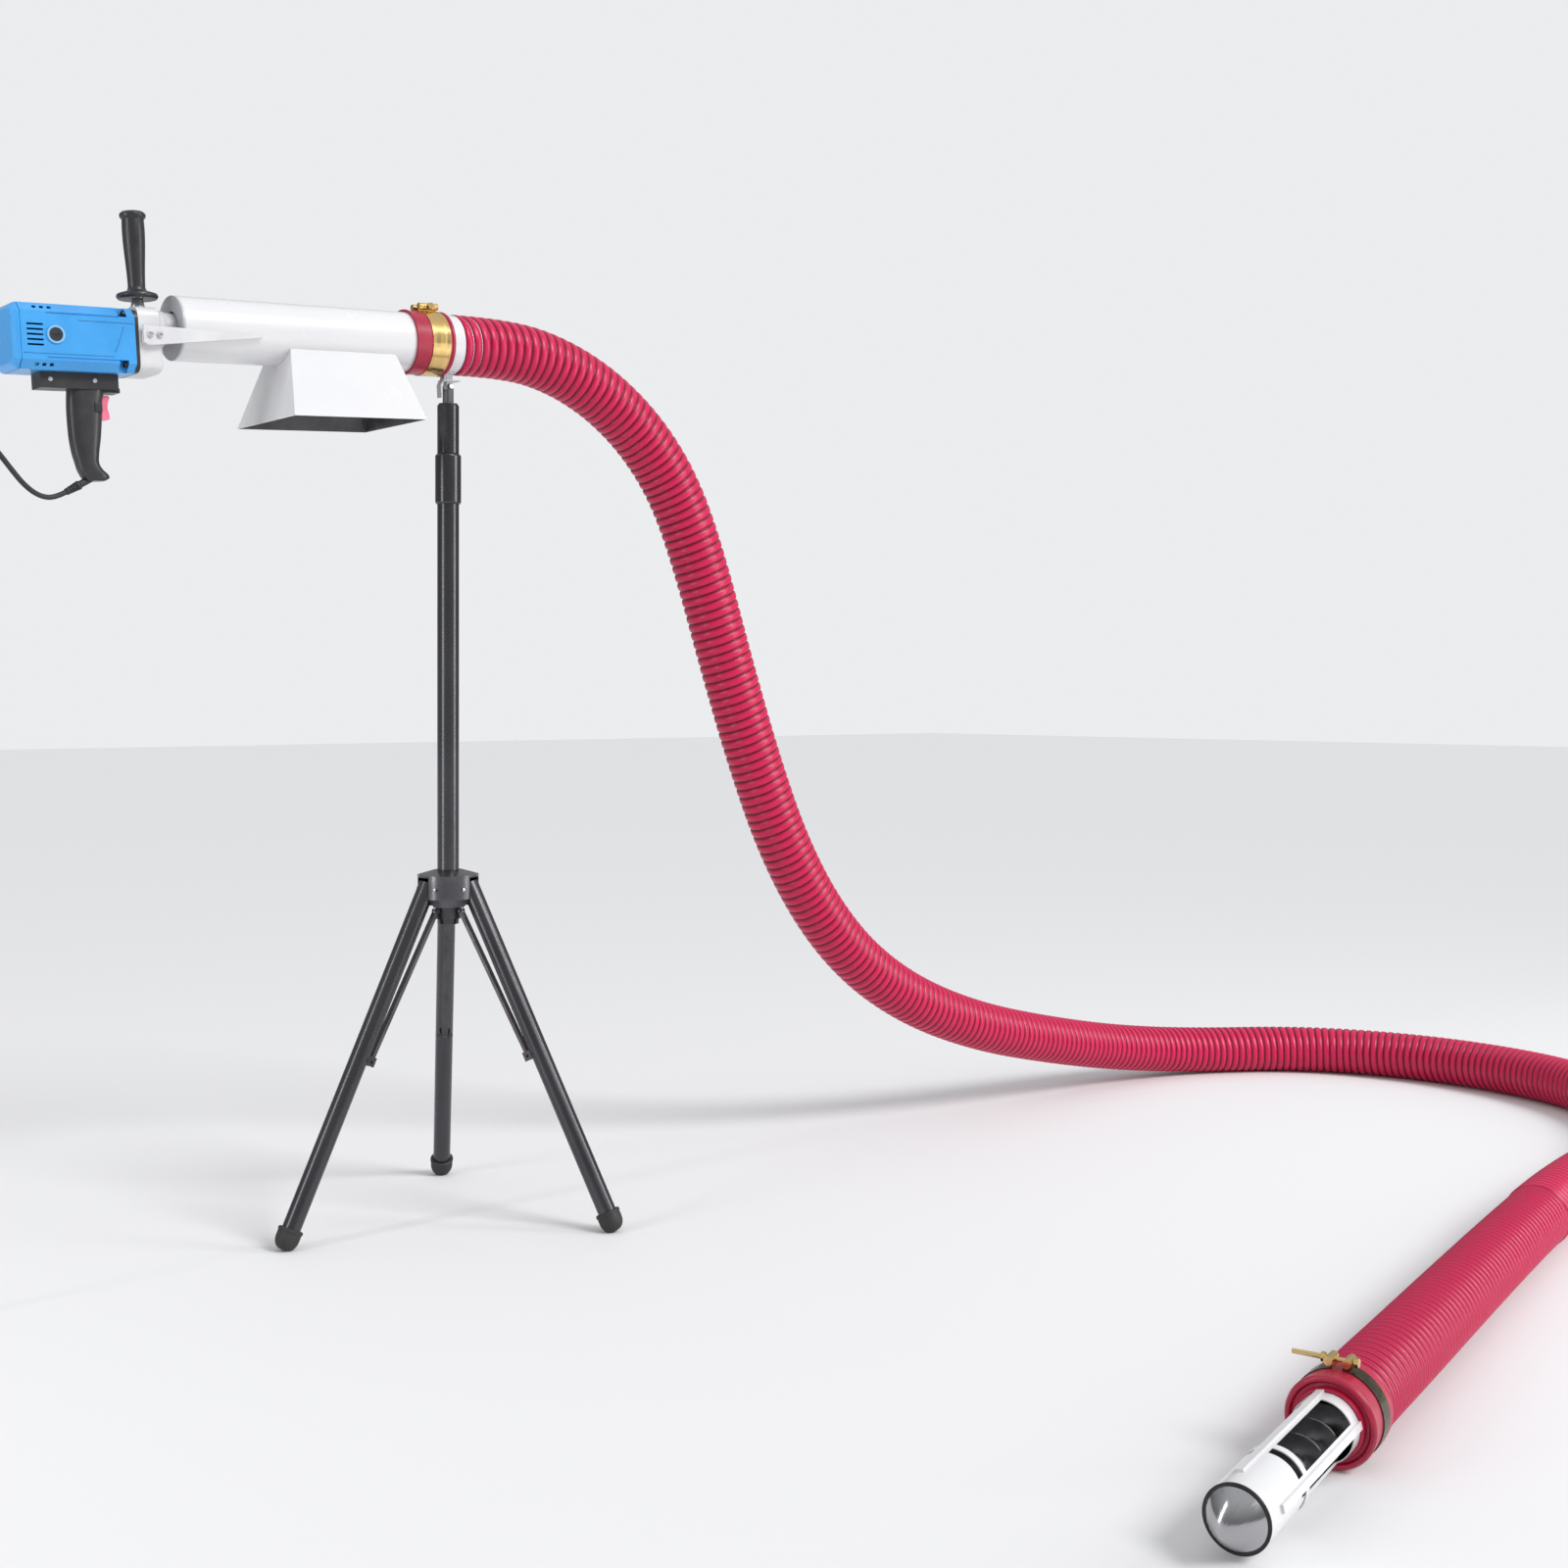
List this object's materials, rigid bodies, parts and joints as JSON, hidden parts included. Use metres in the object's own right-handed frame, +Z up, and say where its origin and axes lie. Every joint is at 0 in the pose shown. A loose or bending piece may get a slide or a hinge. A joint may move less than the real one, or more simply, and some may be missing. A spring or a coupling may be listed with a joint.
{
  "type": "hose-fed grain auger",
  "caption": "Electric grain conveyor: a motor-driven screw in a short tube with a hopper outlet on a folding tripod, fed by a long ribbed hose with a suction head.",
  "frame": {"origin": "middle of the base of the object's box, measured without the hose, its spiral, the power cord, its boot, coil and plug", "axes": "+Z up; +X along the discharge tube from the motor towards the hose; +Y away from the suction head"},
  "size_m": [3.461, 2.034, 1.6425],
  "materials": {
    "powder_black": "glossy black powder coat",
    "hub_grey": "metallic grey enamel",
    "dark_steel": "dark grey coated steel",
    "zinc": "zinc-plated steel",
    "white_enamel": "glossy white enamel",
    "cast_white": "white coated die casting",
    "plate_grey": "light grey enamel",
    "crimson_rubber": "dark red moulded rubber",
    "crimson_hose": "ribbed crimson PVC hose",
    "brass": "polished yellow passivated steel",
    "blue_plastic": "glossy blue moulded casing",
    "black_plastic": "satin black moulded plastic",
    "black_rubber": "black rubber",
    "pink_plastic": "glossy pink moulded plastic",
    "steel": "machined steel",
    "spring_steel": "spring steel",
    "laminations": "varnished steel laminations and copper",
    "cone_chrome": "spun bright steel"
  },
  "bodies": {
    "stand": {"lower_mast": "powder_black", "hub": "hub_grey", "hub_pins": "zinc"},
    "brace_ring": {"brace_slider": "dark_steel"},
    "lock": {"lock_sleeve": "powder_black"},
    "mast": {"upper_mast": "powder_black"},
    "fork": {"swivel_fork": "dark_steel", "fork_pin": "zinc"},
    "machine": {"hanger_lug": "plate_grey", "discharge_tube": "white_enamel", "end_plate": "plate_grey", "spout": "white_enamel", "side_straps": "cast_white", "strap_bolts": "zinc", "joint_sleeve": "crimson_rubber", "clamp_bands": "brass", "clamp_bolts": "brass", "inlet_neck": "white_enamel", "gearbox_housing": "cast_white", "body_screws": "steel", "mid_plate": "black_plastic", "motor_housing": "blue_plastic", "rear_cover": "blue_plastic", "brush_caps": "black_plastic", "stator": "laminations", "ball_bearings": "steel", "side_stud": "zinc", "side_grip": "black_plastic", "grip_left": "black_plastic", "grip_right": "black_plastic", "switch_body": "black_plastic", "trigger_spring": "spring_steel", "cord_boot": "black_rubber", "power_cord": "black_rubber", "cord_coil": "black_rubber", "plug": "black_rubber", "hose": "crimson_hose", "flexible_spiral": "spring_steel", "hose_cuff": "crimson_rubber", "head_cage": "white_enamel", "nose_cone": "cone_chrome"},
    "auger": {"spindle": "steel", "shaft_coupler": "steel", "auger_screw": "steel"},
    "idler": {"idler_gear": "steel"},
    "rotor": {"rotor": "laminations", "cooling_fan": "black_plastic"},
    "head_screw": {"head_screw": "steel"},
    "trigger": {"trigger": "pink_plastic"},
    "lock_button": {"lock_button": "black_plastic"},
    "leg_1": {"leg_1": "powder_black", "foot_1": "black_rubber"},
    "strut_1": {"strut_1": "dark_steel"},
    "leg_2": {"leg_2": "powder_black", "foot_2": "black_rubber"},
    "strut_2": {"strut_2": "dark_steel"},
    "leg_3": {"leg_3": "powder_black", "foot_3": "black_rubber"},
    "strut_3": {"strut_3": "dark_steel"}
  },
  "joints": [
    {"name": "leg_1_fold", "type": "hinge", "parent": "stand", "child": "leg_1", "pos_m": [0.25017, 0.75826, 0.567], "axis": [-0.8829, 0.4695, 0], "range_deg": [0, 21]},
    {"name": "strut_1_pivot", "type": "hinge", "parent": "leg_1", "child": "strut_1", "pos_m": [0.30112, 0.85407, 0.28645], "axis": [-0.8829, 0.4695, 0], "range_deg": [0, 2.87]},
    {"name": "leg_2_fold", "type": "hinge", "parent": "stand", "child": "leg_2", "pos_m": [0.18628, 0.71833, 0.567], "axis": [0.0349, -0.9994, 0], "range_deg": [0, 21]},
    {"name": "strut_2_pivot", "type": "hinge", "parent": "leg_2", "child": "strut_2", "pos_m": [0.07783, 0.71454, 0.28645], "axis": [0.0349, -0.9994, 0], "range_deg": [0, 2.87]},
    {"name": "leg_3_fold", "type": "hinge", "parent": "stand", "child": "leg_3", "pos_m": [0.2528, 0.68296, 0.567], "axis": [0.848, 0.5299, 0], "range_deg": [0, 21]},
    {"name": "strut_3_pivot", "type": "hinge", "parent": "leg_3", "child": "strut_3", "pos_m": [0.3103, 0.59093, 0.28645], "axis": [0.848, 0.5299, 0], "range_deg": [0, 2.87]},
    {"name": "brace_ring_slide", "type": "slide", "parent": "stand", "child": "brace_ring", "axis": [0, 0, 1], "range_m": [0, 0.01163]},
    {"name": "lock_turn", "type": "hinge", "parent": "stand", "child": "lock", "pos_m": [0.22975, 0.71985, 1.27], "axis": [0, 0, 1], "range_deg": [0, 120]},
    {"name": "mast_raise", "type": "slide", "parent": "stand", "child": "mast", "axis": [0, 0, 1], "range_m": [0, 0.2]},
    {"name": "fork_swivel", "type": "hinge", "parent": "mast", "child": "fork", "pos_m": [0.22975, 0.71985, 1.396], "axis": [0, 0, 1], "range_deg": [-90, 90]},
    {"name": "machine_tilt", "type": "hinge", "parent": "fork", "child": "machine", "pos_m": [0.22975, 0.71985, 1.428], "axis": [0, 1, 0], "range_deg": [-8, 8]},
    {"name": "auger_spin", "type": "hinge", "parent": "machine", "child": "auger", "pos_m": [-0.07408, 0.71985, 1.48155], "axis": [0.9981, 0, 0.061], "continuous": true},
    {"name": "idler_spin", "type": "hinge", "parent": "machine", "child": "idler", "pos_m": [-0.32247, 0.7392, 1.44749], "axis": [0.9981, 0, 0.061], "continuous": true},
    {"name": "rotor_spin", "type": "hinge", "parent": "machine", "child": "rotor", "pos_m": [-0.4118, 0.71985, 1.43385], "axis": [0.9981, 0, 0.061], "continuous": true},
    {"name": "head_screw_spin", "type": "hinge", "parent": "machine", "child": "head_screw", "pos_m": [0.35547, -0.92885, 0.05181], "axis": [-0.9628, -0.267, -0.0419], "continuous": true},
    {"name": "trigger_squeeze", "type": "slide", "parent": "machine", "child": "trigger", "axis": [-0.9981, 0, -0.061], "range_m": [0, 0.005], "stiffness_N_per_m": 600, "springref_m": -0.003, "deforming": ["trigger_spring"]},
    {"name": "lock_button_press", "type": "slide", "parent": "machine", "child": "lock_button", "axis": [0, 1, 0], "range_m": [0, 0.002], "stiffness_N_per_m": 400, "springref_m": -0.002}
  ],
  "couplings": [
    {"joint": "strut_1_pivot", "follows": "leg_1_fold", "ratio": 0.1341},
    {"joint": "leg_2_fold", "follows": "leg_1_fold", "ratio": 1},
    {"joint": "strut_2_pivot", "follows": "leg_1_fold", "ratio": 0.1341},
    {"joint": "leg_3_fold", "follows": "leg_1_fold", "ratio": 1},
    {"joint": "strut_3_pivot", "follows": "leg_1_fold", "ratio": 0.1341},
    {"joint": "brace_ring_slide", "follows": "leg_1_fold", "m_per_rad": 0.031103},
    {"joint": "idler_spin", "follows": "auger_spin", "ratio": -3},
    {"joint": "rotor_spin", "follows": "auger_spin", "ratio": 9},
    {"joint": "head_screw_spin", "follows": "auger_spin", "ratio": 1}
  ]
}
